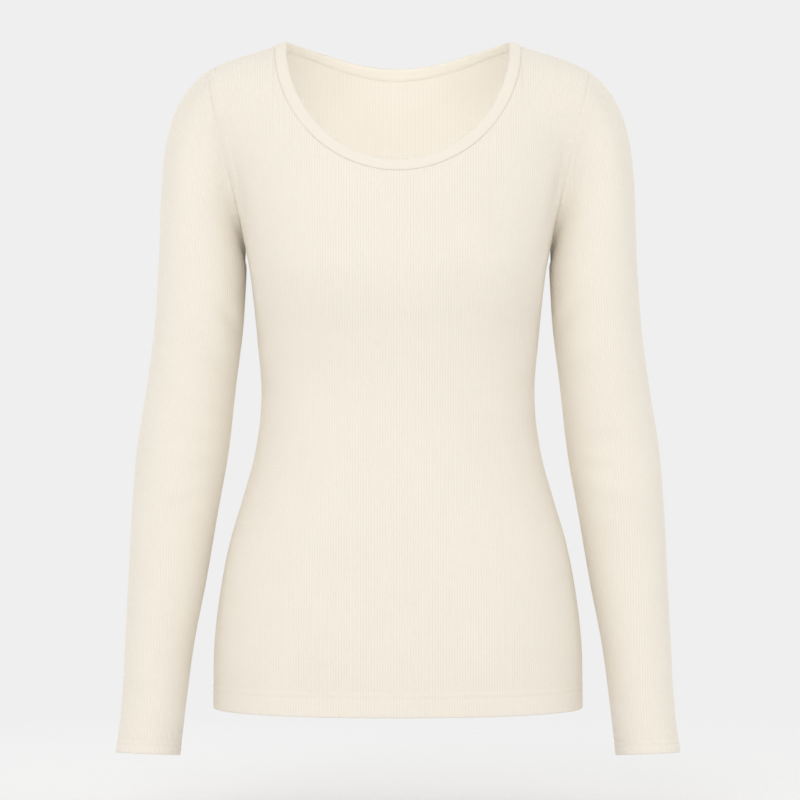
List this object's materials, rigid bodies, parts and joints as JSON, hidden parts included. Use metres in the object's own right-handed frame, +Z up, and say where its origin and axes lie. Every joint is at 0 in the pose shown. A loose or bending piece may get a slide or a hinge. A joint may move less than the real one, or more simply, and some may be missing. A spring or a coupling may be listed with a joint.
{
  "type": "long-sleeved thermal base layer top",
  "caption": "Long-sleeved thermal base layer top in fine rib knit with a scoop neck, a narrow folded neckband and plain turned-up hem and cuffs, hollow in its worn form.",
  "frame": {"origin": "midway between the two shoulders, at the middle height of the shoulder seams, where the wearer's shoulders hold the top up", "axes": "+Z up, the front faces -Y, +X towards the sleeve at the right in front view; Y = 0 is the plane of the shoulder seams and side seams"},
  "size_m": [0.522, 0.2385, 0.6626],
  "materials": {
    "rib_knit": "matte ivory fine rib knit",
    "band_knit": "matte ivory rib knit, folded and stitched flat"
  },
  "bodies": {
    "root": {"front_panel": "rib_knit", "back_panel": "rib_knit", "sleeve_left": "rib_knit", "sleeve_right": "rib_knit", "neckband": "band_knit"}
  },
  "joints": []
}
